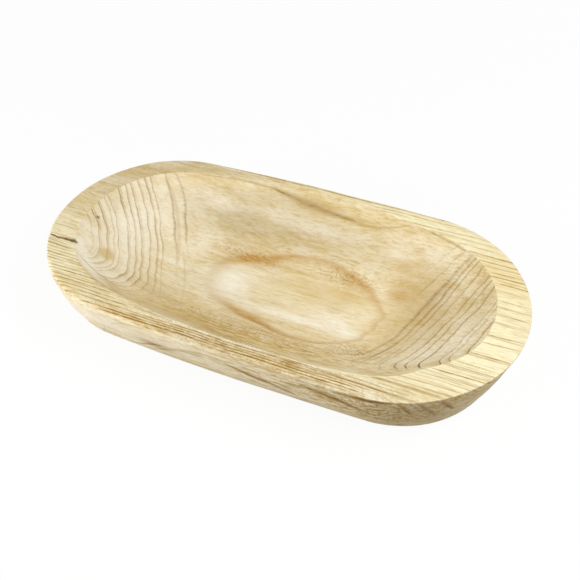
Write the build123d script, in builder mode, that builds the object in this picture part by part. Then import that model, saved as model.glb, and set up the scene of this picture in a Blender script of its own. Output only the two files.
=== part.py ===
from build123d import *
import math
import os

# A long oval dough bowl carved from one block of wood.
# The origin is in the middle of the base, +Z is up, +X runs along the bowl and the near side is -Y.

# Outside of the bowl
rim_length = 500.0
rim_width = 252.0
bowl_height = 70.0

# How much tighter each end is turned than a half circle over the full width
left_end_ease = 4.0
right_end_ease = 2.0
mouth_end_ease = 13.5
floor_end_ease = 4.0

# How far the outer wall has drawn in where it meets the base
left_end_draw = 10.0
right_end_draw = 24.0
side_draw = 27.0
end_draw_curve = 1.1
side_draw_curve = 1.7

# Width of the flat rim on each side
rim_left = 29.0
rim_right = 33.0
rim_near = 18.0
rim_far = 11.0

# Hollow
hollow_depth = 50.0
floor_length = 216.0
floor_width = 44.0
end_slope_curve = 1.4
side_slope_curve = 1.9

# Worked edges
outer_edge_round = 2.0
inner_edge_round = 3.0
base_edge_round = 5.0

WALL_STEPS = (0.0, 0.25, 0.5, 0.75, 1.0)
HOLLOW_STEPS = (0.0, 0.2, 0.42, 0.64, 0.82, 0.94, 1.0)


def half_oval(half_length, half_width, end_ease):
    # Two tangent arcs from the tip to the middle of the side: where they join, and a point on the side arc.
    radius = half_width - end_ease
    reach = half_length - radius
    side_radius = (reach ** 2 + half_width ** 2 - radius ** 2) / (2 * end_ease)
    join_angle = math.atan2(side_radius - half_width, reach)
    side_angle = (join_angle + math.pi / 2) / 2
    join = (reach + radius * math.cos(join_angle), radius * math.sin(join_angle))
    side = (
        side_radius * math.cos(side_angle),
        half_width - side_radius + side_radius * math.sin(side_angle),
    )
    return join, side


def oval_arcs(left, right, near, far, left_ease, right_ease):
    # Six arcs, each as start, middle and end point, around an oval with two rounded ends.
    middle_x = (left + right) / 2
    middle_y = (near + far) / 2
    half_length = (right - left) / 2
    half_width = (far - near) / 2
    right_join, right_side = half_oval(half_length, half_width, right_ease)
    left_join, left_side = half_oval(half_length, half_width, left_ease)
    corners = [
        (right_join[0], -right_join[1]),
        (half_length, 0),
        right_join,
        right_side,
        (0, half_width),
        (-left_side[0], left_side[1]),
        (-left_join[0], left_join[1]),
        (-half_length, 0),
        (-left_join[0], -left_join[1]),
        (-left_side[0], -left_side[1]),
        (0, -half_width),
        (right_side[0], -right_side[1]),
        (right_join[0], -right_join[1]),
    ]
    points = [(middle_x + x, middle_y + y) for x, y in corners]
    return [points[i:i + 3] for i in range(0, 12, 2)]


with BuildPart() as carved_bowl:
    # Outer block, drawn in from the rim down to the base
    for step in WALL_STEPS:
        end_part = step ** end_draw_curve
        side_part = step ** side_draw_curve
        outline = oval_arcs(
            -rim_length / 2 + left_end_draw * end_part,
            rim_length / 2 - right_end_draw * end_part,
            -rim_width / 2 + side_draw * side_part,
            rim_width / 2 - side_draw * side_part,
            left_end_ease,
            right_end_ease,
        )
        with BuildSketch(Plane.XY.offset(bowl_height * (1 - step))):
            with BuildLine():
                for start, middle, end in outline:
                    ThreePointArc(start, middle, end)
            make_face()
    loft()
    outer_edges = carved_bowl.edges().group_by(Axis.Z)[-1]
    base_edges = carved_bowl.edges().group_by(Axis.Z)[0]
    fillet(outer_edges, outer_edge_round)
    fillet(base_edges, base_edge_round)

    # Hollow, dished from the inner edge of the rim down to the floor
    mouth_left = -rim_length / 2 + rim_left
    mouth_right = rim_length / 2 - rim_right
    mouth_near = -rim_width / 2 + rim_near
    mouth_far = rim_width / 2 - rim_far
    floor_x = (mouth_left + mouth_right) / 2
    floor_y = (mouth_near + mouth_far) / 2
    for step in HOLLOW_STEPS:
        end_part = (1 - step) ** (1 / end_slope_curve)
        side_part = (1 - step) ** (1 / side_slope_curve)
        left = floor_x - floor_length / 2
        right = floor_x + floor_length / 2
        near = floor_y - floor_width / 2
        far = floor_y + floor_width / 2
        end_ease = floor_end_ease + (mouth_end_ease - floor_end_ease) * side_part
        outline = oval_arcs(
            left + (mouth_left - left) * end_part,
            right + (mouth_right - right) * end_part,
            near + (mouth_near - near) * side_part,
            far + (mouth_far - far) * side_part,
            end_ease,
            end_ease,
        )
        with BuildSketch(Plane.XY.offset(bowl_height - hollow_depth * step)):
            with BuildLine():
                for start, middle, end in outline:
                    ThreePointArc(start, middle, end)
            make_face()
    loft(mode=Mode.SUBTRACT)
    rim_face = carved_bowl.faces().sort_by(Axis.Z)[-1]
    fillet(rim_face.inner_wires()[0].edges(), inner_edge_round)

carved_bowl.part.label = "carved_bowl"

os.makedirs("parts", exist_ok=True)
export_step(carved_bowl.part, "parts/carved_bowl.step")
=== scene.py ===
import bpy
import math
import numpy as np
from mathutils import Matrix, Vector


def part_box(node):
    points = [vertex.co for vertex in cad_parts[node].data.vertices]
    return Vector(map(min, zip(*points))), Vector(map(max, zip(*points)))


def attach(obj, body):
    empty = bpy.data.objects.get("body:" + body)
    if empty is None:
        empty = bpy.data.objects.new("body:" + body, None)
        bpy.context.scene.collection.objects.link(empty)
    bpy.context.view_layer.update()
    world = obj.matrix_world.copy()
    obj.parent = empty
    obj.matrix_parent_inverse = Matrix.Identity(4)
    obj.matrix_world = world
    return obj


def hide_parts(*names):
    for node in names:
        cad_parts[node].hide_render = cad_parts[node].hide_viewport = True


# A long oval dough bowl carved from one block of pale, wide-ringed wood.
# Lengths are in millimetres until the mesh is made.
# +Z is up, +X runs along the bowl and the near side is -Y.

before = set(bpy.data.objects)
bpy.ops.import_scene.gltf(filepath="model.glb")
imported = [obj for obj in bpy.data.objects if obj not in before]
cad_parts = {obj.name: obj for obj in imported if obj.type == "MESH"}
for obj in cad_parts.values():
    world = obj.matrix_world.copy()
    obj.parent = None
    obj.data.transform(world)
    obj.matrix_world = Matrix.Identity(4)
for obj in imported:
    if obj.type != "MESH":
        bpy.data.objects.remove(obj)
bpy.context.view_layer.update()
MM = 0.001
TINY = 1e-9

# Outside of the bowl, from the frame
low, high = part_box("carved_bowl")
LEFT, NEAR, BOTTOM = (value / MM for value in low)
RIGHT, FAR, TOP = (value / MM for value in high)
HEIGHT = TOP - BOTTOM

# How much tighter each end is turned than a half circle over the full width
LEFT_EASE = 4.0
RIGHT_EASE = 2.0
MOUTH_EASE = 13.5
FLOOR_EASE = 4.0

# How far the outer wall has drawn in where it meets the base
LEFT_DRAW = 10.0
RIGHT_DRAW = 24.0
SIDE_DRAW = 27.0
END_DRAW_CURVE = 1.1
SIDE_DRAW_CURVE = 1.7

# Width of the flat rim on each side
RIM_LEFT = 29.0
RIM_RIGHT = 33.0
RIM_NEAR = 18.0
RIM_FAR = 11.0

# Hollow
HOLLOW_DEPTH = 50.0
FLOOR_LENGTH = 216.0
FLOOR_WIDTH = 44.0
END_SLOPE_CURVE = 1.4
SIDE_SLOPE_CURVE = 1.9

# Worked edges; the inner round goes down the slope by less than its size,
# and out over the rim by no more than a share of the thin side
OUTER_ROUND = 2.0
INNER_ROUND = 1.0
BASE_ROUND = 5.0
INNER_ROUND_FLATNESS = 1.6
INNER_ROUND_LIMIT = 0.5

# Sanding has left the outer edge softer on the left of the near side and the inner edge softer
# in the middle of the far side: the round there, its place around the bowl and how far it reaches
SOFT_OUTER_ROUND = 7.0
SOFT_OUTER_TURN = 0.64
SOFT_OUTER_REACH = 0.07
SOFT_INNER_ROUND = 9.0
SOFT_INNER_TURN = 0.25
SOFT_INNER_REACH = 0.08

# The mouth runs straighter on the right of the near side and then turns more tightly
MOUTH_SWELL = 5.2
MOUTH_SWELL_TURN = 0.855
MOUTH_SWELL_REACH = 0.05
MOUTH_CORNER = 3.6
MOUTH_CORNER_TURN = 0.922
MOUTH_CORNER_REACH = 0.025

# Mesh: points around the bowl and rows in each part of its section
HALF_COLUMNS = 640
BASE_ROWS = 24
WALL_ROWS = 40
EDGE_ROWS = 7
RIM_ROWS = 24
HOLLOW_ROWS = 92
FLOOR_ROWS = 18

# Rows crowd towards the floor, and columns at the heart check; columns are found from fine steps
FLOOR_CROWDING = 1.6
CHECK_TURN = 0.5435
CHECK_CROWDING = 5.0
CHECK_CROWDING_REACH = 0.012
FINE_TURNS = 4001

# Smooth random fields: wave length along each axis, number of waves, seed and swing. The first two bend the
# ring lines; the others are for the ring round the floor, the uneven surface and the grain lines on the rim
LONG_WAVES = ((120, 70, 70), 16, 3, 1.0)
SHORT_WAVES = ((40, 20, 20), 24, 4, 0.3)
FLOOR_RING_WAVES = ((50, 30, 30), 12, 5, 0.8)
UNEVEN_WAVES = ((130, 90, 60), 14, 7, 0.35)
GRAIN_WAVES = ((90, 60, 60), 8, 9, 0.7)

# The trunk at five cuts along the bowl: place of the cut, where the heart lies across it and how high
# it is over the rim, how far the rings are thrown to one side, how flat they are and how they lean
TRUNK_CUTS = (
    (-220.0, -44.0, 4.0, 0.70, 0.80, -0.9),
    (-110.0, -40.0, 18.0, 0.65, 0.72, -0.2),
    (0.0, -52.0, 12.0, 0.65, 0.75, 0.2),
    (110.0, -50.0, 18.0, 0.60, 0.72, 0.1),
    (220.0, -12.0, 30.0, 0.45, 0.60, -0.6),
)
CUT_REACH = 1.15

# Widths of the rings from the heart outwards; the tree grew fast in some years and slowly in others.
# The surface cuts them wider, within the least and most width that count
RING_WIDTHS = (22, 5, 6, 5, 2.5, 6, 4, 3, 4, 3, 2, 4.5, 2.5, 7.5, 4, 4, 4, 6, 9, 6, 10, 7, 7, 7, 8)
SHOWN_RING_WIDTHS = (1.0, 90.0)

# Depth of the soft early wood below the hard late wood, where the hollow has been sanded,
# and the height above the base over which the uneven surface fades in
GROOVE_DEPTH = 0.6
BASE_FADE = 8.0

# Years that show as a broad porous line: part of the bowl, distance from the heart, half thickness,
# middle and half size of the place where the line shows, and strength;
# a line gets no wider than at the least slope of the rings over the surface
PORE_LINES = (
    ("hollow", 64.4, 1.6, (165, 0, 48), (66, 95, 40), 0.58),
    ("hollow", 62.3, 1.2, (165, 0, 48), (66, 95, 40), 0.52),
    ("hollow", 67, 1.3, (-130, 30, 52), (40, 80, 26), 0.4),
    ("hollow", 69.5, 1.3, (-130, 30, 52), (40, 80, 26), 0.45),
    ("wall", 121, 1.6, (-60, -118, 45), (60, 30, 30), 0.45),
)
LEAST_RING_SLOPE = 0.02

# The soft orange ring round the floor: middle, half length and half width of its oval, how its thickness
# changes outwards and inwards, and at each angle the distance outside the oval, half thickness and strength
FLOOR_RING = (15.0, 6.5)
FLOOR_RING_LENGTH = 96.0
FLOOR_RING_WIDTH = 54.0
FLOOR_RING_OUTSIDE = 0.55
FLOOR_RING_INSIDE = 1.35
FLOOR_RING_PLACES = (
    (-180, 1, 6, 0.22),
    (-148, 0, 6, 0.28),
    (-125, -5, 6.5, 0.9),
    (-110, -5, 6, 1.15),
    (-98, -3, 4.5, 1.05),
    (-88, 0.5, 3.2, 0.8),
    (-72, 7, 2.2, 0.6),
    (-52, 3, 1.8, 0.5),
    (-10, -3.5, 2, 0.4),
    (20, -1, 2.6, 0.45),
    (45, -2, 4.5, 0.75),
    (70, 0.5, 3.6, 0.6),
    (95, 0, 3.4, 0.6),
    (125, -5, 6, 0.72),
    (150, 3, 4.5, 0.5),
    (180, 1, 6, 0.22),
)

# Lines along the grain on the flat rim: distance across the bowl, start and end along it, and strength
GRAIN_LINES = (
    (-122.5, -110, 120, 0.55),
    (-119, -135, 140, 1),
    (-116, -160, 130, 0.85),
    (-113.3, -110, 150, 0.55),
    (-110.5, -190, -80, 0.55),
    (-110.5, -90, 165, 0.75),
    (-106, -200, -100, 0.5),
    (-106, 105, 180, 0.4),
    (-102.5, -210, -120, 0.5),
    (-102.5, 130, 185, 0.25),
    (-98, -220, -125, 0.7),
    (-98, 115, 210, 0.5),
    (-94, 145, 212, 0.3),
    (-91.5, -225, -140, 0.35),
    (-88, -230, -145, 0.75),
    (-88, 145, 220, 0.4),
    (-84, -235, -150, 0.4),
    (-80.5, -235, -160, 0.3),
    (-77, -240, -165, 0.55),
    (-77, 170, 230, 0.5),
    (-73.5, -240, -170, 0.25),
    (-70, -245, -175, 0.7),
    (-70, 175, 236, 0.8),
    (-66, -248, -185, 0.3),
    (-62, -252, -195, 0.5),
    (-62, 182, 238, 0.3),
    (-58, -252, -195, 0.6),
    (-54, -252, -200, 0.4),
    (-54, 185, 242, 0.5),
    (-40, 195, 248, 0.75),
    (-24, 205, 252, 0.65),
    (-13, 205, 254, 0.65),
    (2, 210, 250, 0.25),
    (14, 205, 254, 0.6),
    (23, 205, 254, 0.45),
    (32, 205, 252, 0.45),
    (44, 205, 248, 0.35),
    (53, 200, 248, 0.9),
    (56.5, 200, 246, 0.45),
    (61, 190, 244, 0.75),
    (66, 190, 242, 0.6),
    (72, 180, 238, 0.4),
    (78, 175, 235, 0.7),
    (86, 160, 228, 0.75),
    (93, 150, 215, 0.4),
    (100, 120, 205, 0.45),
    (107, 90, 190, 0.5),
    (113, -10, 100, 0.45),
    (117, 50, 160, 0.5),
    (122, -150, 150, 0.75),
)
GRAIN_LINE_FADE = 14.0

# A painted highlight along the rim's inner edge, pale on the near side: half width,
# and the stretches across and along the bowl over which it appears
EDGE_HIGHLIGHT_WIDTH = 0.7
EDGE_HIGHLIGHT_ACROSS = (-80.0, -100.0)
EDGE_HIGHLIGHT_ALONG = (-90.0, -30.0)

# The drying check at the heart, on the left rim: its place across the bowl, its inner end,
# how far it runs down into the hollow, and its half width, widening and depth
CHECK_ACROSS = -47.3
CHECK_END = -203.0
CHECK_END_FADE = 3.0
CHECK_FOOT = 7.0
CHECK_FOOT_FADE = 5.0
CHECK_HALF_WIDTH = 0.8
CHECK_WIDENING = 2.0
CHECK_DEPTH = 1.4

# How the check wavers, as swings and their lengths, and how ragged its sides are
CHECK_WAVERS = ((0.5, 5.0), (0.3, 2.1))
CHECK_RAGGEDNESS = 0.3
CHECK_RAGGED_LENGTH = 1.3

# Soft marks, by part of the bowl and colour: middle, half size along each axis, and strength
# Most are the wood's own colour; some are painted light or painted shade, as noted at each
MARK_COLOURS = ("brown", "pale", "grey", "gold", "orange", "stain", "flecks", "dots", "dark")
MARKS = {
    ("hollow", "stain"): (
        ((-179, -36, 52.5), (8, 7, 6), 2.2),
    ),
    ("hollow", "dark"): (
        ((-211, -0.5, 64), (1.6, 1.3, 1.7), 1.2),
    ),
    ("hollow", "pale"): (
        ((-175, 15, 50), (55, 75, 28), 0.72),
        # Painted light: the next two marks make the near-left slope paler where it lies in shade.
        ((-165, -66, 58), (24, 14, 12), 0.55),
        ((-148, -62, 48), (18, 10, 10), 0.5),
        ((-106, -14, 22), (12, 18, 6), 0.3),
        ((160, -42, 48), (34, 30, 16), 0.5),
        ((194, -22, 58), (15, 30, 12), 0.5),
        ((-58, 2, 20), (23, 22, 6), 1.05),
        ((20, -20, 20), (58, 6, 6), 0.8),
        ((62, -9, 20), (20, 9, 6), 0.85),
        ((86, -20, 21), (14, 7, 6), 0.7),
        ((-108, 86, 52), (28, 9, 9), 0.45),
        ((-50, 90, 48), (32, 8, 8), 0.4),
        ((0, 86, 44), (42, 9, 9), 0.42),
        ((-110, 45, 27), (14, 22, 8), 0.45),
        ((105, 82, 45), (20, 9, 9), 0.5),
        ((140, 82, 50), (13, 9, 8), 0.5),
    ),
    ("hollow", "orange"): (
        ((112, 71, 41.5), (9, 7, 5), 0.3),
        ((116, 43, 28), (12, 9, 6), 0.75),
        ((-60, 42, 23), (34, 9, 7), 0.46),
        ((54, 47, 24.5), (18, 7, 6), 0.25),
        ((-25, -52, 27), (45, 8, 8), 0.22),
        ((-8, -9, 20), (24, 2, 4), 0.3),
        ((-5, -78, 42), (90, 24, 22), 0.2),
    ),
    ("hollow", "brown"): (
        ((-50, -83, 49), (55, 24, 22), 0.3),
        ((40, -78, 44), (70, 24, 22), 0.07),
        ((42, 25, 20), (50, 12, 8), 0.16),
        ((146, 26, 40), (44, 50, 24), 0.42),
        ((-20, 106, 61), (45, 8, 8), 0.22),
        ((-10, 84, 42), (100, 26, 22), 0.09),
        ((-118, -48, 34), (20, 18, 12), 0.12),
    ),
    ("hollow", "gold"): (
        ((-20, -80, 44), (130, 26, 24), 0.8),
        ((42, 25, 20), (50, 11, 8), 0.3),
        ((125, 15, 32), (42, 50, 16), 0.26),
        ((-75, -45, 27), (22, 12, 8), 0.3),
    ),
    # Painted shade: grey darkens the far wall and the top of the right slope.
    ("hollow", "grey"): (
        ((-40, 80, 45), (150, 36, 28), 0.4),
        ((-95, 80, 46), (50, 34, 26), 0.12),
        ((200, 30, 58), (20, 45, 14), 0.2),
    ),
    ("hollow", "dots"): (
        ((-60, 44, 23), (38, 9, 8), 0.7),
        ((56, 50, 26), (28, 10, 8), 0.8),
        ((98, -46, 29), (18, 12, 12), 1.3),
        ((-40, -62, 32), (70, 15, 14), 0.6),
        ((50, -66, 36), (60, 15, 14), 0.3),
    ),
    ("hollow", "flecks"): (
        ((20, -78, 42), (130, 28, 24), 1),
    ),
    ("rim", "brown"): (
        ((-185, 75, 70), (85, 70, 9), 0.25),
        ((-212, -46.5, 70), (13, 3, 9), 0.6),
        ((25, -118, 70), (110, 20, 9), 0.15),
    ),
    ("rim", "gold"): (
        ((205, 62, 70), (40, 35, 9), 0.3),
    ),
    ("rim", "pale"): (
        ((215, -60, 70), (40, 40, 9), 0.3),
        ((190, 10, 70), (120, 140, 9), 0.78),
        ((-225, -75, 70), (80, 50, 9), 0.7),
        ((90, 114, 70), (90, 20, 9), 0.5),
        ((-150, -98, 70), (40, 16, 9), 0.15),
    ),
    ("rim", "dots"): (
        ((20, -116, 70), (150, 18, 9), 0.6),
    ),
    ("rim", "flecks"): (
        ((20, -118, 70), (150, 20, 9), 0.8),
    ),
    ("wall", "gold"): (
        ((-20, -120, 50), (130, 40, 30), 0.18),
        ((150, -110, 45), (90, 45, 40), 0.4),
    ),
    ("wall", "brown"): (
        ((-76, -118, 40), (18, 9, 7), 0.75),
        # Partly the wood's darker tone and partly painted shade: the right end of the near wall, which
        # leans away from the light.
        ((180, -105, 42), (80, 50, 40), 0.42),
    ),
    ("wall", "pale"): (
        # Partly paler wood and partly painted light: the near wall made paler towards its left, where it is
        # lit more.
        ((-130, -117, 52), (85, 40, 24), 0.8),
        ((0, -118, 45), (70, 30, 20), 0.48),
    ),
    ("wall", "dots"): (
        ((150, -112, 48), (60, 32, 30), 1.2),
    ),
    ("wall", "flecks"): (
        ((105, -116, 45), (130, 50, 45), 1.2),
    ),
}

# Streaks, by part of the bowl and colour: points along the streak, half thickness and strength;
# corners are cut by a share of each side, and the taper stops a share before each end
STREAKS = {
    ("hollow", "brown"): (
        (((-152, 97, 69), (-127, 102, 69), (-89, 108, 69), (-59, 110, 67), (-31, 107, 63)), 0.9, 0.45),
        (((-58, 111, 67), (-30, 107, 63), (-7, 105, 60), (12, 103, 59), (44, 101, 58)), 3.6, 0.48),
        (((12, 103, 59), (48, 100, 57), (63, 99, 58), (83, 100, 61), (106, 105, 69)), 1.2, 0.4),
        (((109, -77, 51), (114, -63, 41), (121, -44, 32), (130, -29, 30), (136, -18, 30)), 1.2, 0.55),
        (((124, -66, 45), (129, -56, 40), (137, -36, 34), (144, -17, 33)), 1, 0.35),
        (((125, 102, 69), (133, 99, 69), (154, 93, 69), (173, 84, 69)), 1, 0.9),
        (((-197, -60, 69), (-181, -67, 65), (-160, -74, 60), (-136, -74, 53)), 0.8, 0.6),
        (((-175, 82, 67), (-160, 72, 54), (-148, 56, 42), (-134, 32, 29), (-121, 3, 22)), 2.2, 0.22),
        (((-126, 23, 25), (-117, 10, 21), (-104, -13, 20), (-92, -37, 25), (-82, -61, 35)), 1.5, 0.22),
    ),
    ("hollow", "orange"): (
        (((-18, -55, 29), (1, -53, 28), (20, -56, 30)), 2, 0.3),
        (((-90, 20, 20), (-67, 31, 21), (-42, 43, 23), (-23, 52, 25), (-8, 57, 27)), 3, 0.18),
    ),
    ("hollow", "pale"): (
        # Painted light: a pale band along the near-left inner edge, where the steep slope lies in shade.
        (((-214, -32, 64), (-203, -48, 65), (-185, -65, 65), (-165, -78, 66), (-140, -88, 66)), 8, 0.75),
    ),
    ("wall", "orange"): (
        (((-157, -104, 22), (-128, -116, 46), (-113, -122, 60), (-87, -124, 67),
          (-64, -125, 67)), 1.3, 0.45),
        (((-64, -120, 44), (-36, -124, 55), (-10, -125, 60), (3, -124, 54), (16, -123, 51)), 1.4, 0.7),
    ),
    ("wall", "brown"): (
        (((3, -124, 54), (16, -123, 51), (32, -121, 44), (46, -120, 41), (71, -115, 29)), 3, 1.1),
        (((78, -124, 60), (92, -123, 57), (105, -122, 55), (124, -121, 49), (137, -118, 43)), 3.6, 0.85),
        (((-125, -100, 8), (-118, -103, 12), (-88, -115, 33), (-72, -120, 43),
          (-60, -121, 46)), 1.6, 0.75),
        # Painted shade: a dark line just under the rim's outer edge on the right of the near wall.
        (((107, -124, 66), (121, -124, 66), (134, -124, 67), (147, -122, 67),
          (162, -118, 67)), 2.4, 0.8),
        (((166, -118, 69), (176, -106, 43)), 1.4, 0.85),
        (((181, -111, 69), (194, -92, 36)), 1.4, 0.9),
        (((198, -101, 69), (208, -79, 34)), 1.4, 0.85),
    ),
    # Painted shade: the same line under the rim's outer edge, darker in its middle.
    ("wall", "dark"): (
        (((126, -124, 67), (140, -123, 67), (158, -119, 67)), 1.8, 0.6),
    ),
}
CORNER_CUT = 0.25
TAPER_END = 0.02

# Places where the ring lines are weaker, or stronger where the loss is below zero:
# part of the bowl, middle, half size and how much is lost
QUIET_PLACES = (
    ("hollow", (10, 94, 55), (150, 34, 34), 1),
    ("hollow", (11, 5, 20), (120, 60, 12), 1),
    ("hollow", (-85, -86, 56), (62, 22, 18), 0.75),
    ("hollow", (-160, 20, 42), (75, 90, 45), 0.25),
    ("hollow", (150, -92, 62), (70, 20, 16), 0.85),
    ("hollow", (108, -74, 47), (28, 16, 14), 0.9),
    ("hollow", (178, -30, 54), (40, 45, 20), -0.5),
    ("hollow", (190, 22, 58), (34, 42, 24), 0.3),
    ("hollow", (-188, -64, 67), (40, 24, 6), 0.85),
    ("hollow", (124, 0, 27), (26, 70, 12), 0.9),
    ("hollow", (163, -77, 64), (34, 8, 9), 0.75),
    ("hollow", (-110, -56, 38), (22, 22, 12), 0.85),
    ("hollow", (-100, 5, 22), (34, 55, 7), 0.95),
    ("wall", (0, -120, 40), (320, 90, 90), 0.55),
)

# Places in the hollow where fibres hardly show: middle, half size and how smooth they are;
# the left slope is cut across the grain and the floor is worn
SMOOTH_PLACES = (
    ((-190, 0, 52), (72, 110, 45), 1),
    ((11, 3, 20), (110, 45, 14), 0.55),
)

# How sharply a place ends, as a power: marks fade out softly, other places more firmly
SOFT_END = 2
FIRM_END = 4

# Least distance between points that counts when a slope over the surface is measured
LEAST_STEP = 0.05

# Camera, at the photograph's viewing angle
CAMERA_TARGET = (26.9, -29.2, 70.0)
CAMERA_DISTANCE = 814.0
CAMERA_AZIMUTH = 26.01
CAMERA_ELEVATION = 45.38
CAMERA_ROLL = -2.865
PHOTO_WIDTH = 580.0
FOCAL_PIXELS = 850.0
SENSOR_WIDTH = 36.0

# Studio, in metres and watts: a white floor that keeps the bowl's shadow, a pale room and two lamps
WHITE = (1.0, 1.0, 1.0, 1.0)
FLOOR_HALF = 4.0
FLOOR_GAP = 0.0005
FLOOR_SEEN = (0.95, 0.95, 0.95, 1.0)
FLOOR_BOUNCE = (0.5, 0.5, 0.5, 1.0)
FLOOR_WHITENESS = (0.4, 1.4, 0.93, 1.0)
ROOM_LIGHT = 0.3
LAMP_SIZE = 1.0
LAMPS = (
    ("key", (1.0, 0.0, 1.2), 17.5),
    ("fill", (-1.0, -0.8, 0.32), 17.0),
)


def fade(value, start, end):
    # Zero at the start, one at the end and straight in between.
    return np.clip((value - start) / (end - start), 0, 1)


def bell(value, middle, reach):
    # One in the middle and zero far from it.
    return np.exp(-((value - middle) / reach) ** 2)


def quarter(half_length, half_width, end_ease, part):
    # Points along a quarter of an oval, an end arc and a flatter side arc, at a share of its length.
    radius = half_width - end_ease
    reach = half_length - radius
    side_radius = (reach ** 2 + half_width ** 2 - radius ** 2) / (2 * end_ease)
    join_angle = np.arctan2(side_radius - half_width, reach)
    end_arc = radius * join_angle
    side_arc = side_radius * (math.pi / 2 - join_angle)
    run = part * (end_arc + side_arc)
    end_angle = run / radius
    side_angle = join_angle + (run - end_arc) / side_radius
    on_end = run < end_arc
    x = np.where(on_end, reach + radius * np.cos(end_angle), side_radius * np.cos(side_angle))
    side_y = half_width - side_radius + side_radius * np.sin(side_angle)
    y = np.where(on_end, radius * np.sin(end_angle), side_y)
    return x, y


def oval(left, right, near, far, left_ease, right_ease, turn):
    # Points around an oval; turn goes from 0 at the right tip over the far side to 1.
    half_length = (right - left) / 2
    half_width = (far - near) / 2
    quarters = turn * 4
    number = np.floor(quarters)
    part = np.where(number % 2 == 0, quarters - number, number + 1 - quarters)
    right_x, right_y = quarter(half_length, half_width, right_ease, part)
    left_x, left_y = quarter(half_length, half_width, left_ease, part)
    on_right = (number == 0) | (number == 3)
    x = np.where(on_right, right_x, -left_x)
    y = np.where(on_right, right_y, left_y) * np.where(number < 2, 1, -1)
    return np.stack([x + (left + right) / 2, y + (near + far) / 2], -1)


def wall(step, turn, inset=0.0):
    # The outer wall at a depth step below the rim, from 0 to 1 at the base.
    end_part = step ** END_DRAW_CURVE
    side_part = step ** SIDE_DRAW_CURVE
    outline = oval(
        LEFT + LEFT_DRAW * end_part + inset,
        RIGHT - RIGHT_DRAW * end_part - inset,
        NEAR + SIDE_DRAW * side_part + inset,
        FAR - SIDE_DRAW * side_part - inset,
        LEFT_EASE,
        RIGHT_EASE,
        turn,
    )
    level = TOP - HEIGHT * step * np.ones(turn.shape)
    return np.concatenate([outline, level[:, None]], -1)


def mouth_swell(turn):
    # How far the mouth lies outside its plain oval.
    swell = MOUTH_SWELL * bell(turn, MOUTH_SWELL_TURN, MOUTH_SWELL_REACH)
    return swell - MOUTH_CORNER * bell(turn, MOUTH_CORNER_TURN, MOUTH_CORNER_REACH)


def hollow(step, turn, outset=0.0):
    # The hollow at a depth step below the rim, from 0 to 1 at its floor.
    outset = outset + mouth_swell(turn) * (1 - step) ** 2
    mouth = (LEFT + RIM_LEFT, RIGHT - RIM_RIGHT, NEAR + RIM_NEAR, FAR - RIM_FAR)
    middle_x = (mouth[0] + mouth[1]) / 2
    middle_y = (mouth[2] + mouth[3]) / 2
    floor = (
        middle_x - FLOOR_LENGTH / 2,
        middle_x + FLOOR_LENGTH / 2,
        middle_y - FLOOR_WIDTH / 2,
        middle_y + FLOOR_WIDTH / 2,
    )
    end_part = (1 - step) ** (1 / END_SLOPE_CURVE)
    side_part = (1 - step) ** (1 / SIDE_SLOPE_CURVE)
    ease = FLOOR_EASE + (MOUTH_EASE - FLOOR_EASE) * side_part
    outline = oval(
        floor[0] + (mouth[0] - floor[0]) * end_part - outset,
        floor[1] + (mouth[1] - floor[1]) * end_part + outset,
        floor[2] + (mouth[2] - floor[2]) * side_part - outset,
        floor[3] + (mouth[3] - floor[3]) * side_part + outset,
        ease,
        ease,
        turn,
    )
    level = TOP - HOLLOW_DEPTH * step * np.ones(turn.shape)
    return np.concatenate([outline, level[:, None]], -1)


def turns():
    # Places around the bowl, mirrored about its long axis and closer together at the heart check.
    fine = np.linspace(0, 0.5, FINE_TURNS)
    closeness = 1 + CHECK_CROWDING * bell(fine, 1 - CHECK_TURN, CHECK_CROWDING_REACH)
    share = np.concatenate([[0], np.cumsum((closeness[1:] + closeness[:-1]) / 2)])
    half = np.interp(np.linspace(0, share[-1], HALF_COLUMNS + 1), share, fine)
    return np.concatenate([half, 1 - half[-2:0:-1]])


def rounded(first, corner, last):
    # Rows of a worked edge, bent from one face to the next and without the two end rows.
    along = np.linspace(0, 1, EDGE_ROWS + 2)[1:-1, None, None]
    return list((1 - along) ** 2 * first + 2 * along * (1 - along) * corner + along ** 2 * last)


def spread(first, last, count):
    # Evenly spaced rows from one row to another, with both.
    return [first + (last - first) * along for along in np.linspace(0, 1, count + 1)]


def spine(row, short):
    # A row closed onto the line along the middle of its oval.
    middle = (row.max(0) + row.min(0)) / 2
    line = row.copy()
    line[:, 0] = middle[0] + (row[:, 0] - middle[0]) * short
    line[:, 1] = middle[1]
    return line


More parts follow.
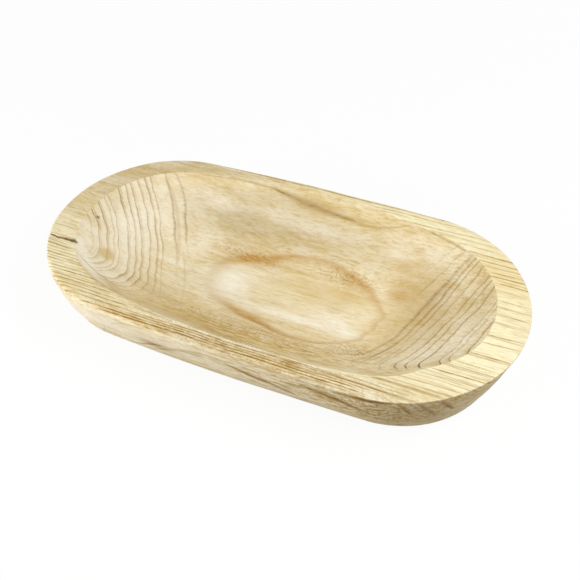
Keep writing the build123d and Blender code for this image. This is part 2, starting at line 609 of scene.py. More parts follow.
def section_rows(turn):
    # All rows of the bowl's skin, from the middle of the base round the rim to the middle of the floor.
    base_step = 1 - BASE_ROUND / HEIGHT
    base_edge = wall(1.0, turn, BASE_ROUND)
    rows = spread(spine(base_edge, 1 - (FAR - NEAR) / (RIGHT - LEFT)), base_edge, BASE_ROWS)
    rows += rounded(base_edge, wall(1.0, turn), wall(base_step, turn))
    soft_outer = bell(turn, SOFT_OUTER_TURN, SOFT_OUTER_REACH)
    outer_round = OUTER_ROUND + (SOFT_OUTER_ROUND - OUTER_ROUND) * soft_outer
    top_step = outer_round / HEIGHT
    for along in np.linspace(0, 1, WALL_ROWS):
        rows.append(wall(base_step + (top_step - base_step) * along, turn))
    rim_edge = wall(0.0, turn, outer_round)
    rows += rounded(wall(top_step, turn), wall(0.0, turn), rim_edge)
    soft_inner = bell(turn, SOFT_INNER_TURN, SOFT_INNER_REACH)
    inner_round = INNER_ROUND + (SOFT_INNER_ROUND - INNER_ROUND) * soft_inner
    mouth_edge = hollow(0.0, turn, np.minimum(inner_round, INNER_ROUND_LIMIT * RIM_FAR))
    rows += spread(rim_edge, mouth_edge, RIM_ROWS)
    slope_step = inner_round / (INNER_ROUND_FLATNESS * HOLLOW_DEPTH)
    rows += rounded(mouth_edge, hollow(0.0, turn), hollow(slope_step, turn))
    for along in np.linspace(0, 1, HOLLOW_ROWS):
        rows.append(hollow(slope_step + (1 - slope_step) * (1 - (1 - along) ** FLOOR_CROWDING), turn))
    floor_edge = rows[-1]
    rows += spread(floor_edge, spine(floor_edge, 1 - FLOOR_WIDTH / FLOOR_LENGTH), FLOOR_ROWS)[1:]
    return np.array(rows)


def part_masks():
    # For each part of the bowl, one for its rows and zero for the others.
    counts = {
        "wall": BASE_ROWS + 1 + EDGE_ROWS + WALL_ROWS + EDGE_ROWS // 2,
        "rim": EDGE_ROWS - EDGE_ROWS // 2 + RIM_ROWS + 1 + EDGE_ROWS // 2,
        "hollow": EDGE_ROWS - EDGE_ROWS // 2 + HOLLOW_ROWS + FLOOR_ROWS,
    }
    names = np.repeat(list(counts), list(counts.values()))
    return {name: (names == name).astype(float)[:, None] for name in counts}


def waves(points, lengths, count, seed, swing):
    # A smooth random field with its own wave length along each axis, mostly within its swing.
    draw = np.random.default_rng(seed)
    total = np.zeros(points.shape[:-1])
    for _ in range(count):
        pitch = draw.normal(size=3) / np.array(lengths)
        total += np.sin(2 * math.pi * (points @ pitch) + draw.uniform(0, 2 * math.pi))
    return swing * (total / math.sqrt(count))


def surface_slope(rows, values):
    # How fast a value changes over the surface, per millimetre.
    across = np.linalg.norm(np.roll(rows, -1, 1) - np.roll(rows, 1, 1), axis=-1)
    along = np.linalg.norm(np.gradient(rows, axis=0), axis=-1)
    turn_slope = np.abs(np.roll(values, -1, 1) - np.roll(values, 1, 1)) / np.maximum(across, LEAST_STEP)
    row_slope = np.abs(np.gradient(values, axis=0)) / np.maximum(along, LEAST_STEP)
    return np.hypot(turn_slope, row_slope)


def normals(rows):
    # The direction that the skin faces at each point, outwards.
    across = np.roll(rows, -1, 1) - np.roll(rows, 1, 1)
    along = np.gradient(rows, axis=0)
    facing = np.cross(across, along)
    return facing / np.maximum(np.linalg.norm(facing, axis=-1, keepdims=True), TINY)


def trunk(x):
    # The trunk's values at a place along the bowl, each a smooth curve through the cuts.
    cuts, *columns = np.array(TRUNK_CUTS).T
    reach = cuts[-1]
    along = np.clip(x / reach, -CUT_REACH, CUT_REACH)
    return [np.polyval(np.polyfit(cuts / reach, column, len(cuts) - 1), along) for column in columns]


def ring_radius(points):
    # Distance from the heart, measured so that each ring has one value all round.
    x, y, z = points[..., 0], points[..., 1], points[..., 2]
    heart_across, heart_height, throw, flatness, lean = trunk(x)
    up = z - TOP - heart_height
    across = y - heart_across + lean * up
    pull = flatness ** 2 * throw
    rest = 1 - pull * throw
    root = np.sqrt((pull * across) ** 2 + rest * ((flatness * across) ** 2 + up ** 2))
    return (root - pull * across) / rest


def ring_number(rows):
    # Number of the ring at each point, with the part of the way through it; the lines are a little wavy.
    edges = np.concatenate([[0], np.cumsum(RING_WIDTHS)])
    number = np.interp(ring_radius(rows), edges, np.arange(len(edges)))
    shift = waves(rows, *LONG_WAVES) + waves(rows, *SHORT_WAVES)
    return number + shift * surface_slope(rows, number)


def nearness(rows, middle, half_size, sharpness):
    # One in the middle of a place and zero far from it.
    return np.exp(-(np.abs((rows - np.array(middle)) / np.array(half_size)) ** sharpness).sum(-1))


def pore_lines(rows, masks):
    # Broad porous lines along some rings.
    radius = ring_radius(rows)
    slope = np.maximum(surface_slope(rows, radius), LEAST_RING_SLOPE)
    swing = waves(rows, *LONG_WAVES)
    amount = np.zeros(radius.shape)
    for part, level, thickness, middle, half_size, strength in PORE_LINES:
        line = bell((radius - level) / slope + swing, 0, thickness)
        amount += strength * masks[part] * nearness(rows, middle, half_size, FIRM_END) * line
    return amount


def floor_ring(rows, masks):
    # The uneven ring round the floor.
    across = (rows[..., 1] - FLOOR_RING[1]) / FLOOR_RING_WIDTH
    along = (rows[..., 0] - FLOOR_RING[0]) / FLOOR_RING_LENGTH
    angle = np.degrees(np.arctan2(across, along))
    angles, offsets, thicknesses, strengths = np.array(FLOOR_RING_PLACES).T
    away = (np.hypot(along, across) - 1) * FLOOR_RING_WIDTH - np.interp(angle, angles, offsets)
    away += waves(rows, *FLOOR_RING_WAVES)
    thickness = np.interp(angle, angles, thicknesses)
    thickness *= np.where(away > 0, FLOOR_RING_OUTSIDE, FLOOR_RING_INSIDE)
    return masks["hollow"] * np.interp(angle, angles, strengths) * bell(away, 0, thickness)


def grain_lines(rows, masks):
    # The rim's grain lines, counted across the bowl,
    # with the gap between neighbours and the nearest one's strength.
    x = rows[..., 0]
    across = rows[..., 1] + waves(rows, *GRAIN_WAVES)
    places = np.array([2 * NEAR, *sorted({line[0] for line in GRAIN_LINES}), 2 * FAR])
    count = np.interp(across, places, np.arange(len(places)))
    gap = np.diff(places)[np.floor(count).astype(int)]
    nearest = places[np.rint(count).astype(int)]
    strength = np.zeros(across.shape)
    for place, start, end, amount in GRAIN_LINES:
        shown = fade(x, start, start + GRAIN_LINE_FADE) * fade(x, end, end - GRAIN_LINE_FADE)
        strength += amount * shown * (nearest == place)
    return count, gap, strength * masks["rim"]


def edge_highlight(rows, masks):
    # Painted highlight: the rim's inner edge made pale along the near side.
    edge = rows[int(masks["wall"].sum() + masks["rim"].sum()) - EDGE_ROWS // 2]
    away = np.linalg.norm(rows - edge, axis=-1)
    shown = fade(rows[..., 1], *EDGE_HIGHLIGHT_ACROSS) * fade(rows[..., 0], *EDGE_HIGHLIGHT_ALONG)
    return bell(away, 0, EDGE_HIGHLIGHT_WIDTH) * shown


def softened(path):
    # A bent line with its corners cut twice.
    path = np.array(path, dtype=float)
    for _ in range(2):
        first = (1 - CORNER_CUT) * path[:-1] + CORNER_CUT * path[1:]
        second = CORNER_CUT * path[:-1] + (1 - CORNER_CUT) * path[1:]
        middle = np.stack([first, second], 1).reshape(-1, 3)
        path = np.concatenate([path[:1], middle, path[-1:]])
    return path


def streak(rows, path, thickness):
    # How much of a streak along a bent line lies at each point; it thins out to both ends.
    path = softened(path)
    lengths = np.linalg.norm(np.diff(path, axis=0), axis=1)
    starts = np.concatenate([[0], np.cumsum(lengths)])
    nearest = np.full(rows.shape[:-1], np.inf)
    place = np.zeros(rows.shape[:-1])
    for first, last, start, length in zip(path[:-1], path[1:], starts, lengths):
        run = last - first
        share = np.clip((rows - first) @ run / length ** 2, 0, 1)
        away = np.linalg.norm(rows - first - share[..., None] * run, axis=-1)
        place = np.where(away < nearest, start + share * length, place)
        nearest = np.minimum(away, nearest)
    taper = np.sqrt(np.sin(math.pi * np.clip(place / starts[-1], TAPER_END, 1 - TAPER_END)))
    return bell(nearest, 0, thickness * taper)


def smooth_amount(rows, masks):
    # How smooth the hollow is at each point.
    amount = np.zeros(rows.shape[:-1])
    for middle, half_size, smoothness in SMOOTH_PLACES:
        place = nearness(rows, middle, half_size, FIRM_END)
        amount = np.maximum(amount, smoothness * masks["hollow"] * place)
    return amount


def line_strength(rows, masks):
    # How strongly the ring lines show at each point.
    strength = np.ones(rows.shape[:-1])
    for part, middle, half_size, loss in QUIET_PLACES:
        strength *= 1 - loss * masks[part] * nearness(rows, middle, half_size, FIRM_END)
    return strength


def check_amount(points):
    # How much of the heart check lies at each point: a wavy split, narrow at its outer end.
    x, y, z = points[..., 0], points[..., 1], points[..., 2]
    path = CHECK_ACROSS + sum(swing * np.sin(x / length) for swing, length in CHECK_WAVERS)
    foot = TOP - CHECK_FOOT
    opening = fade(x, CHECK_END, CHECK_END - CHECK_END_FADE) * fade(z, foot, foot + CHECK_FOOT_FADE)
    inward = fade(x, LEFT, CHECK_END)
    ragged = 1 + CHECK_RAGGEDNESS * np.sin(x / CHECK_RAGGED_LENGTH)
    return bell(y, path, CHECK_HALF_WIDTH + CHECK_WIDENING * inward ** 2 * ragged) * opening


def colour_amounts(rows, masks):
    # How much of each mark colour lies at each point.
    amounts = {name: np.zeros(rows.shape[:-1]) for name in MARK_COLOURS}
    for (part, colour), marks in MARKS.items():
        for middle, half_size, strength in marks:
            amounts[colour] += strength * masks[part] * nearness(rows, middle, half_size, SOFT_END)
    for (part, colour), streaks in STREAKS.items():
        for path, thickness, strength in streaks:
            amounts[colour] += strength * masks[part] * streak(rows, path, thickness)
    amounts["orange"] += floor_ring(rows, masks)
    return amounts


def carve(rows, ring, masks):
    # Hand-made unevenness, a shallow groove along each ring in the hollow and the open heart check.
    off_base = fade(rows[..., 2], BOTTOM, BOTTOM + BASE_FADE)
    uneven = waves(rows, *UNEVEN_WAVES)
    past_edge = ring - np.floor(ring)
    groove = (1 - past_edge) ** 2 * masks["hollow"] * np.minimum(line_strength(rows, masks), 1)
    depth = (GROOVE_DEPTH * groove - uneven) * off_base + CHECK_DEPTH * check_amount(rows)
    return rows - normals(rows) * depth[..., None]


def skin_faces(row_count, columns):
    # Quads between neighbouring rows; the first and last rows are zipped shut along their middle line.
    index = np.arange(row_count * columns).reshape(row_count, columns)
    mirrored = (columns - np.arange(columns)) % columns
    folded = np.minimum(np.arange(columns), mirrored)
    index[0] = index[0][folded]
    index[-1] = index[-1][folded]
    after = np.roll(index, -1, 1)
    return np.stack([index[:-1], after[:-1], after[1:], index[1:]], -1).reshape(-1, 4)


def add_values(mesh, name, values):
    # Stores one value per point, for the wood to read.
    attribute = mesh.attributes.new(name, "FLOAT", "POINT")
    attribute.data.foreach_set("value", values.astype(np.float32))


def make_bowl():
    # The bowl's closed skin, with the values that its wood reads.
    rows = section_rows(turns())
    masks = part_masks()
    ring = ring_number(rows)
    skin = carve(rows, ring, masks)
    grain_count, grain_gap, grain = grain_lines(rows, masks)
    values = {
        "ring": ring,
        "ring_width": np.clip(1 / np.maximum(surface_slope(rows, ring), TINY), *SHOWN_RING_WIDTHS),
        "reach": ring_radius(rows),
        "line_strength": line_strength(rows, masks),
        "rim": masks["rim"] * np.ones(ring.shape),
        "wall": masks["wall"] * np.ones(ring.shape),
        "porous": pore_lines(rows, masks),
        "grain_count": grain_count,
        "grain_gap": grain_gap,
        "grain": grain,
        "smooth": smooth_amount(rows, masks),
        "edge": edge_highlight(rows, masks),
        "check": check_amount(rows),
        **colour_amounts(rows, masks),
    }
    faces = skin_faces(*ring.shape)
    used, packed = np.unique(faces, return_inverse=True)
    mesh = bpy.data.meshes.new("bowl_skin")
    mesh.from_pydata((skin.reshape(-1, 3)[used] * MM).tolist(), [], packed.reshape(-1, 4).tolist())
    for name, value in values.items():
        add_values(mesh, name, value.reshape(-1)[used])
    mesh.shade_smooth()
    mesh.validate()
    bowl = bpy.data.objects.new("wooden_bowl", mesh)
    bpy.context.scene.collection.objects.link(bowl)
    return bowl


def tint(red, green, blue):
    # A colour as it is seen, from 0 to 255, as the linear value that a shader takes.
    def linear(value):
        share = value / 255
        return share / 12.92 if share <= 0.04045 else ((share + 0.055) / 1.055) ** 2.4
    return (linear(red), linear(green), linear(blue), 1.0)


# Colours of the wood, and the grey used for painted shade
PALE = tint(244, 231, 196)
CREAM = tint(231, 210, 160)
TAN = tint(198, 167, 96)
GOLD = tint(234, 202, 118)
BROWN = tint(150, 114, 44)
ORANGE = tint(194, 149, 76)
STAIN = tint(222, 198, 148)
# Used only for painted shade
SHADE_GREY = tint(150, 130, 84)
LINE_BROWN = tint(130, 92, 32)
SOFT_LINE = tint(160, 116, 42)
RIM_LINE = tint(150, 110, 36)
PORE = tint(128, 92, 34)
DARK = tint(104, 74, 38)
BLEACHED = tint(252, 245, 224)
LEMON = tint(254, 246, 206)

# Noise in the wood: waves per millimetre along each axis, detail and roughness
JITTER_NOISE = ((0.06, 0.5, 0.5), 2.0, 0.5)
PATCH_NOISE = ((0.015, 0.04, 0.04), 2.0, 0.5)
BAND_NOISE = ((0.42, 0.005, 1.0), 3.0, 0.6)
RIM_BAND_NOISE = ((0.005, 0.3, 0.3), 3.0, 0.6)
HAIR_NOISE = ((0.006, 0.42, 0.42), 2.0, 0.7)
MOTTLE_NOISE = ((0.022, 0.05, 0.05), 4.0, 0.55)
CLOUD_NOISE = ((0.015, 0.04, 0.04), 3.0, 0.5)
STREAK_NOISE = ((0.012, 0.2, 0.2), 3.0, 0.6)
WANDER_NOISE = ((0.01, 0.03, 0.03), 2.0, 0.5)
SILK_NOISE = ((0.08, 0.45, 0.45), 4.0, 0.7)
PORE_NOISE = ((0.14, 0.62, 0.62), 2.0, 0.6)
DOT_NOISE = ((0.34, 0.44, 0.44), 2.0, 0.6)
FLECK_NOISE = ((0.07, 0.3, 0.3), 3.0, 0.65)
NOISE_MIDDLE = 0.5

# Ring lines: where a line starts past its ring's edge, its thickness and how much is added on smooth wood,
# where a second line lies in the ring, and how fast the early wood fades through the ring
LINE_START = 0.1
LINE_THICKNESS = 1.1
SMOOTH_THICKENING = 0.6
SECOND_LINE_PLACE = 0.3
EARLY_WOOD_FADING = 2.5

# Soft steps: where a step starts and ends, and the amounts before and after it where these aren't 0 and 1
LINE_LEAD = (0.0, 0.6, 1.0, 0.0)
SECOND_LINE = (0.2, 1.0, 0.5, 0.0)
SECOND_LINE_YEARS = (0.4, 0.7)
LINE_YEARS = (-0.1, 1.0, 0.35, 0.85)
LINE_PATCHES = (0.3, 0.65, 0.45, 1.0)
LINES_IN_WIDE_RINGS = (12.0, 30.0, 1.0, 0.0)
EARLY_IN_WIDE_RINGS = (15.0, 45.0, 1.0, 0.35)
EARLY_ON_RIM = (0.0, 1.0, 0.5, 0.0)
FIBRES_ON_SMOOTH = (0.0, 1.0, 1.0, 0.3)
CLOUDS = (0.3, 0.7)
STREAKS_OUTSIDE = (0.0, 1.0, 0.45, 1.0)
TAN_STREAKS = (0.48, 0.76)
PALE_STREAKS = (0.48, 0.25)
BROWN_STREAKS = (0.55, 0.72, 0.0, 0.45)
PALE_MOTTLE = (0.52, 0.68, 0.0, 0.4)
TAN_MOTTLE = (0.48, 0.32, 0.0, 0.35)
BANDS = (0.47, 0.66, 0.0, 0.2)
RIM_BANDS = (0.46, 0.7, 0.0, 0.45)
TAN_SILK = (0.48, 0.7, 0.0, 0.6)
PALE_SILK = (0.5, 0.28, 0.0, 0.55)
PORES = (0.54, 0.7)
MARKED_FIBRES = (0.62, 0.38)
BROWN_FLECKS = (0.5, 0.6, 0.0, 0.5)
PALE_FLECKS = (0.5, 0.4, 0.0, 0.5)
DOTS = (0.5, 0.62, 0.0, 0.55)
DOTS_OUTSIDE = (0.0, 1.0, 0.05, 0.15)
GRAIN_LINE = (0.25, 1.0, 1.0, 0.0)
GRAIN_HALO = (0.5, 3.5, 0.22, 0.0)
GRAIN_FLECKS = (0.36, 0.58, 0.5, 1.15)
HAIRS = (0.53, 0.66)
HAIRS_ACROSS = (40.0, -70.0, 0.2, 0.45)
POROUS_FIBRES = (0.3, 0.65, 0.45, 1.1)
CHECK_DARKNESS = (0.15, 0.8, 0.0, 0.85)
ROUGHNESS = (0.2, 0.8, 0.58, 0.75)

# How far the fibres wander across and up, how many pores there are everywhere and more in early wood,
# how unsteady grain lines are, and how pale the painted highlight on the rim's inner edge is
WANDER_ACROSS = 20.0
WANDER_UP = 14.0
PORES_EVERYWHERE = 0.2
PORES_IN_EARLY_WOOD = 0.25
GRAIN_JITTER = 0.6
EDGE_HIGHLIGHT_SHARE = 0.75

# Finish: relief of fibres, lines and pores as shares of a height in metres, and gloss
SILK_RELIEF = 0.4
LINE_RELIEF = 0.3
PORE_RELIEF = 0.35
RELIEF_STRENGTH = 0.5
RELIEF_HEIGHT = 0.0004
GLOSS = 0.15


class Graph:
    # Short calls for building the nodes of a material or of the room.
    def __init__(self, tree):
        self.tree = tree

    def add(self, kind, inputs=(), **settings):
        # A node with its settings, and its inputs as values or links.
        made = self.tree.nodes.new(kind)
        for name, value in settings.items():
            setattr(made, name, value)
        for key, value in dict(inputs).items():
            if isinstance(value, bpy.types.NodeSocket):
                self.tree.links.new(value, made.inputs[key])
            else:
                made.inputs[key].default_value = value
        return made

    def math(self, operation, first, second=0.0, clamp=False):
        made = self.add("ShaderNodeMath", {0: first, 1: second}, operation=operation, use_clamp=clamp)
        return made.outputs[0]

    def product(self, first, *others):
        for other in others:
            first = self.math("MULTIPLY", first, other)
        return first

    def ease(self, value, start, end, low=0.0, high=1.0):
        # A soft step from low to high while the value goes from start to end.
        inputs = {"Value": value, "From Min": start, "From Max": end, "To Min": low, "To Max": high}
        return self.add("ShaderNodeMapRange", inputs, interpolation_type="SMOOTHSTEP").outputs["Result"]

    def noise(self, place, pitch, detail, roughness):
        # Noise with its own pitch along each axis, in waves per millimetre.
        stretched = self.add("ShaderNodeVectorMath", {0: place, 1: pitch}, operation="MULTIPLY")
        inputs = {"Vector": stretched.outputs[0], "Scale": 1.0, "Detail": detail, "Roughness": roughness}
        return self.add("ShaderNodeTexNoise", inputs).outputs["Fac"]

    def value(self, name):
        # A value that is stored on the mesh.
        return self.add("ShaderNodeAttribute", attribute_name=name).outputs["Fac"]

    def mix(self, share, first, second):
        made = self.add("ShaderNodeMix", {0: share, 6: first, 7: second}, data_type="RGBA")
        return made.outputs[2]


class Wood(Graph):
    # The wood's colour, relief and gloss, built up in steps that share their values.
    def __init__(self, tree):
        super().__init__(tree)
        coordinates = self.add("ShaderNodeTexCoord").outputs["Object"]
        scaled = self.add("ShaderNodeVectorMath", {0: coordinates, "Scale": 1 / MM}, operation="SCALE")
        self.place = scaled.outputs[0]
        self.along_x, self.across_y, _ = self.add("ShaderNodeSeparateXYZ", {0: self.place}).outputs
        self.rim = self.value("rim")
        self.outside = self.value("wall")
        self.smooth = self.value("smooth")
        self.fibrous = self.ease(self.smooth, *FIBRES_ON_SMOOTH)
        self.streaks = self.noise(self.place, *STREAK_NOISE)

    def paint(self, colour, *shares):
        # Mixes a colour into the wood, by the product of the shares.
        self.body = self.mix(self.product(*shares), self.body, colour)

    def rings(self):
        # The dark line at each ring's edge, which is lost where the surface runs along the ring,
        # and the early wood behind it.
        width = self.value("ring_width")
        shown = self.value("line_strength")
        self.jitter = self.math("SUBTRACT", self.noise(self.place, *JITTER_NOISE), NOISE_MIDDLE)
        ring = self.math("ADD", self.value("ring"), self.math("DIVIDE", self.jitter, width))
        number = self.math("FLOOR", ring)
        part = self.math("SUBTRACT", ring, number)
        after = self.product(part, width)
        before = self.math("SUBTRACT", width, after)
        bold = self.add("ShaderNodeTexWhiteNoise", {"W": number}, noise_dimensions="1D").outputs["Value"]

        thickness = self.math("ADD", LINE_THICKNESS, bold)
        thickness = self.math("ADD", thickness, self.product(self.smooth, SMOOTH_THICKENING))
        line = self.ease(after, LINE_START, thickness, 1.0, 0.0)
        line = self.math("MAXIMUM", line, self.ease(before, *LINE_LEAD))
        off_second = self.math("SUBTRACT", after, self.product(width, SECOND_LINE_PLACE))
        second = self.ease(self.math("ABSOLUTE", off_second), *SECOND_LINE)
        second = self.product(second, self.smooth, self.ease(bold, *SECOND_LINE_YEARS))
        line = self.math("MAXIMUM", line, second)

        patchy = self.ease(self.noise(self.place, *PATCH_NOISE), *LINE_PATCHES)
        off_rim = self.math("SUBTRACT", 1.0, self.rim)
        self.cut_across = self.product(self.ease(width, *LINES_IN_WIDE_RINGS), shown)
        self.line = self.product(line, patchy, self.cut_across, self.ease(bold, *LINE_YEARS), off_rim)
        early = self.math("POWER", self.math("SUBTRACT", 1.0, part), EARLY_WOOD_FADING)
        self.early = self.product(early, shown, self.ease(width, *EARLY_IN_WIDE_RINGS))

    def ground(self):
        # Clouds of pale wood, early wood, streaks and mottling,
        # and bands along the rings in the hollow and along the grain on the rim.
        self.body = self.mix(self.ease(self.noise(self.place, *CLOUD_NOISE), *CLOUDS), PALE, CREAM)
        self.paint(TAN, self.early, self.ease(self.rim, *EARLY_ON_RIM))
        streak_amount = self.ease(self.outside, *STREAKS_OUTSIDE)
        self.paint(TAN, self.ease(self.streaks, *TAN_STREAKS), streak_amount)
        self.paint(BLEACHED, self.ease(self.streaks, *PALE_STREAKS), streak_amount)
        self.paint(BROWN, self.ease(self.streaks, *BROWN_STREAKS), self.outside)
        mottled = self.noise(self.place, *MOTTLE_NOISE)
        self.paint(BLEACHED, self.ease(mottled, *PALE_MOTTLE))
        self.paint(TAN, self.ease(mottled, *TAN_MOTTLE), self.fibrous)
        reach = self.add("ShaderNodeCombineXYZ", {0: self.value("reach"), 1: self.along_x}).outputs[0]
        bands = self.ease(self.noise(reach, *BAND_NOISE), *BANDS)
        self.paint(TAN, bands, self.cut_across)
        rim_bands = self.ease(self.noise(self.place, *RIM_BAND_NOISE), *RIM_BANDS)
        self.paint(TAN, rim_bands, self.rim)

    def fibres(self):
        # Fibres and pores: short flecks along the wandering grain.
        wander = self.noise(self.place, *WANDER_NOISE)
        bend = self.add("ShaderNodeCombineXYZ", {
            1: self.product(wander, WANDER_ACROSS),
            2: self.product(wander, WANDER_UP),
        }).outputs[0]
        self.bent = self.add("ShaderNodeVectorMath", {0: self.place, 1: bend}).outputs[0]
        self.silk = self.noise(self.bent, *SILK_NOISE)
        self.pores = self.ease(self.noise(self.bent, *PORE_NOISE), *PORES)
        self.paint(TAN, self.ease(self.silk, *TAN_SILK), self.fibrous)
        self.paint(BLEACHED, self.ease(self.silk, *PALE_SILK), self.fibrous)
        amount = self.math("ADD", PORES_EVERYWHERE, self.product(self.early, PORES_IN_EARLY_WOOD))
        self.paint(BROWN, self.pores, amount, self.fibrous)

    def marks(self):
        # Soft marks, among them painted light and painted shade, and the ring round the floor,
        # each with its shares on dark and on pale fibres, and then flecks and porous spots.
        for name, colour, least, most in (
            # grey is painted shade on the far wall and the top of the right slope
            ("grey", SHADE_GREY, 1.0, 1.0),
            # pale is paler wood, and painted light on the near-left slope and the near wall
            ("pale", self.mix(self.rim, BLEACHED, LEMON), 0.7, 1.15),
            ("gold", GOLD, 0.8, 1.1),
            # brown is darker wood, and partly painted shade on the right of the near wall
            ("brown", BROWN, 0.7, 1.2),
            ("stain", STAIN, 0.9, 1.0),
            ("orange", ORANGE, 0.60, 1.15),
        ):
            share = self.ease(self.silk, *MARKED_FIBRES, least, most)
            self.paint(colour, self.value(name), share)
        self.uneven = self.noise(self.bent, *FLECK_NOISE)
        unstained = self.math("SUBTRACT", 1.0, self.value("brown"), clamp=True)
        flecks = self.product(self.value("flecks"), unstained)
        self.paint(BROWN, self.ease(self.uneven, *BROWN_FLECKS), flecks)
        self.paint(BLEACHED, self.ease(self.uneven, *PALE_FLECKS), flecks)
        dots = self.ease(self.noise(self.place, *DOT_NOISE), *DOTS)
        dot_amount = self.math("ADD", self.value("dots"), self.ease(self.outside, *DOTS_OUTSIDE))
        self.paint(PORE, dot_amount, dots)

    def lines(self):
        # Grain lines and hairs on the rim, porous rings, ring lines, the painted highlight on the rim's
        # inner edge and the heart check.
        part = self.math("FRACT", self.value("grain_count"))
        off_line = self.math("MINIMUM", part, self.math("SUBTRACT", 1.0, part))
        off_line = self.product(off_line, self.value("grain_gap"))
        off_line = self.math("ADD", off_line, self.product(self.jitter, GRAIN_JITTER))
        grain = self.value("grain")
        self.paint(GOLD, self.ease(off_line, *GRAIN_HALO), grain)
        hairs = self.ease(self.noise(self.place, *HAIR_NOISE), *HAIRS)
        self.paint(RIM_LINE, hairs, self.rim, self.ease(self.across_y, *HAIRS_ACROSS))
        self.paint(LINE_BROWN, self.value("porous"), self.ease(self.silk, *POROUS_FIBRES))
        broken = self.ease(self.uneven, *GRAIN_FLECKS)
        self.paint(RIM_LINE, grain, broken, self.ease(off_line, *GRAIN_LINE))
        self.paint(self.mix(self.smooth, LINE_BROWN, SOFT_LINE), self.line)
        # Painted highlight: the rim's inner edge along the near side turns pale lemon.
        self.paint(LEMON, self.value("edge"), EDGE_HIGHLIGHT_SHARE)
        # Dark spots, and painted shade under the rim's outer edge on the near wall.
        self.paint(DARK, self.value("dark"))
        self.paint(DARK, self.ease(self.value("check"), *CHECK_DARKNESS))

    def finish(self, surface):
        # Colour, gloss and the fine relief of fibres, lines and pores.
        relief = self.product(self.silk, SILK_RELIEF)
        relief = self.math("SUBTRACT", relief, self.product(self.line, LINE_RELIEF))
        relief = self.math("SUBTRACT", relief, self.product(self.pores, PORE_RELIEF))
        inputs = {"Height": relief, "Strength": RELIEF_STRENGTH, "Distance": RELIEF_HEIGHT}
        bump = self.add("ShaderNodeBump", inputs).outputs[0]
        self.tree.links.new(self.body, surface.inputs["Base Color"])
        self.tree.links.new(self.ease(self.streaks, *ROUGHNESS), surface.inputs["Roughness"])
        self.tree.links.new(bump, surface.inputs["Normal"])
        surface.inputs["Specular IOR Level"].default_value = GLOSS


def wood_material():
    # Bare sanded wood.
    material = bpy.data.materials.new("ringed_wood")
    material.use_nodes = True
    wood = Wood(material.node_tree)
    wood.rings()
    wood.ground()
    wood.fibres()
    wood.marks()
    wood.lines()
    wood.finish(material.node_tree.nodes["Principled BSDF"])
    return material


def seen(graph):
    # One for what the camera sees directly or in gloss and glass, and zero for light.
    path = graph.add("ShaderNodeLightPath").outputs
    direct = graph.math("MAXIMUM", path["Is Camera Ray"], path["Is Glossy Ray"])
    return graph.math("MAXIMUM", direct, path["Is Transmission Ray"])


def floor_material():
    # White to the eye, more so away from the bowl, and grey to the light that it throws back.
    material = bpy.data.materials.new("white_floor")
    material.use_nodes = True
    nodes = material.node_tree.nodes
    nodes.remove(nodes["Principled BSDF"])
    graph = Graph(material.node_tree)
    shade = graph.mix(seen(graph), FLOOR_BOUNCE, FLOOR_SEEN)
    matte = graph.add("ShaderNodeBsdfDiffuse", {"Color": shade}).outputs[0]
    white = graph.add("ShaderNodeEmission", {"Color": WHITE, "Strength": 1.0}).outputs[0]
    place = graph.add("ShaderNodeTexCoord").outputs["Object"]
    away = graph.add("ShaderNodeVectorMath", {0: place}, operation="LENGTH").outputs["Value"]
    whiteness = graph.product(seen(graph), graph.ease(away, *FLOOR_WHITENESS))
    mixed = graph.add("ShaderNodeMixShader", {0: whiteness, 1: matte, 2: white}).outputs[0]
    material.node_tree.links.new(mixed, nodes["Material Output"].inputs["Surface"])
    return material


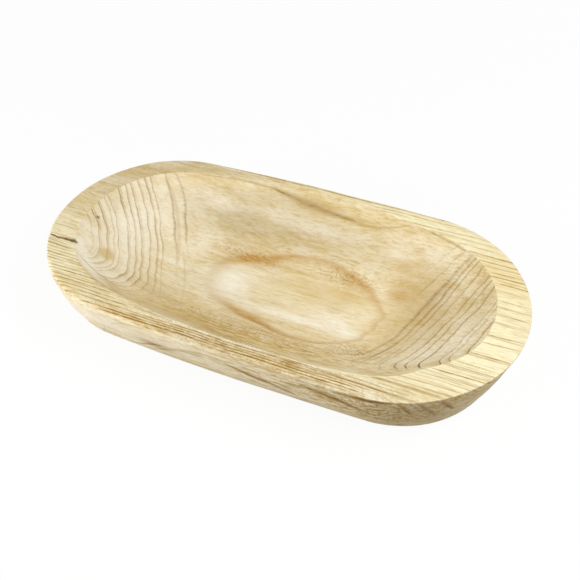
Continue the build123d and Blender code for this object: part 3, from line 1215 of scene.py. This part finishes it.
def make_floor():
    # A wide floor just under the bowl.
    half = FLOOR_HALF
    corners = [(-half, -half, 0), (half, -half, 0), (half, half, 0), (-half, half, 0)]
    mesh = bpy.data.meshes.new("floor")
    mesh.from_pydata(corners, [], [(0, 1, 2, 3)])
    mesh.materials.append(floor_material())
    floor = bpy.data.objects.new("floor", mesh)
    floor.location.z = BOTTOM * MM - FLOOR_GAP
    bpy.context.scene.collection.objects.link(floor)


def light_room():
    # A room that gives little light and looks white.
    world = bpy.data.worlds.new("studio")
    world.use_nodes = True
    graph = Graph(world.node_tree)
    room = graph.add("ShaderNodeBackground", {"Color": WHITE, "Strength": ROOM_LIGHT}).outputs[0]
    white = graph.add("ShaderNodeBackground", {"Color": WHITE, "Strength": 1.0}).outputs[0]
    mixed = graph.add("ShaderNodeMixShader", {0: seen(graph), 1: room, 2: white}).outputs[0]
    world.node_tree.links.new(mixed, world.node_tree.nodes["World Output"].inputs["Surface"])
    bpy.context.scene.world = world


def add_lamp(name, place, power):
    # A soft square lamp that faces the bowl.
    lamp = bpy.data.lights.new(name, "AREA")
    lamp.size = LAMP_SIZE
    lamp.energy = power
    holder = bpy.data.objects.new(name, lamp)
    holder.location = place
    aim = Vector((0.0, 0.0, TOP * MM)) - holder.location
    holder.rotation_euler = aim.to_track_quat("-Z", "Y").to_euler()
    bpy.context.scene.collection.objects.link(holder)


def place_camera():
    # The camera turns about its target, tilts down, rolls and then draws back.
    camera = bpy.data.objects.new("camera", bpy.data.cameras.new("camera"))
    camera.data.sensor_width = SENSOR_WIDTH
    camera.data.lens = FOCAL_PIXELS / PHOTO_WIDTH * SENSOR_WIDTH
    camera.matrix_world = (
        Matrix.Translation(Vector(CAMERA_TARGET) * MM)
        @ Matrix.Rotation(math.radians(CAMERA_AZIMUTH), 4, "Z")
        @ Matrix.Rotation(math.radians(90 - CAMERA_ELEVATION), 4, "X")
        @ Matrix.Rotation(math.radians(CAMERA_ROLL), 4, "Z")
        @ Matrix.Translation((0, 0, CAMERA_DISTANCE * MM))
    )
    bpy.context.scene.collection.objects.link(camera)
    bpy.context.scene.camera = camera


bowl = make_bowl()
bowl.data.materials.append(wood_material())
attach(bowl, "root")
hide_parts("carved_bowl")

make_floor()
light_room()
for lamp in LAMPS:
    add_lamp(*lamp)
place_camera()
bpy.context.scene.view_settings.view_transform = "Standard"
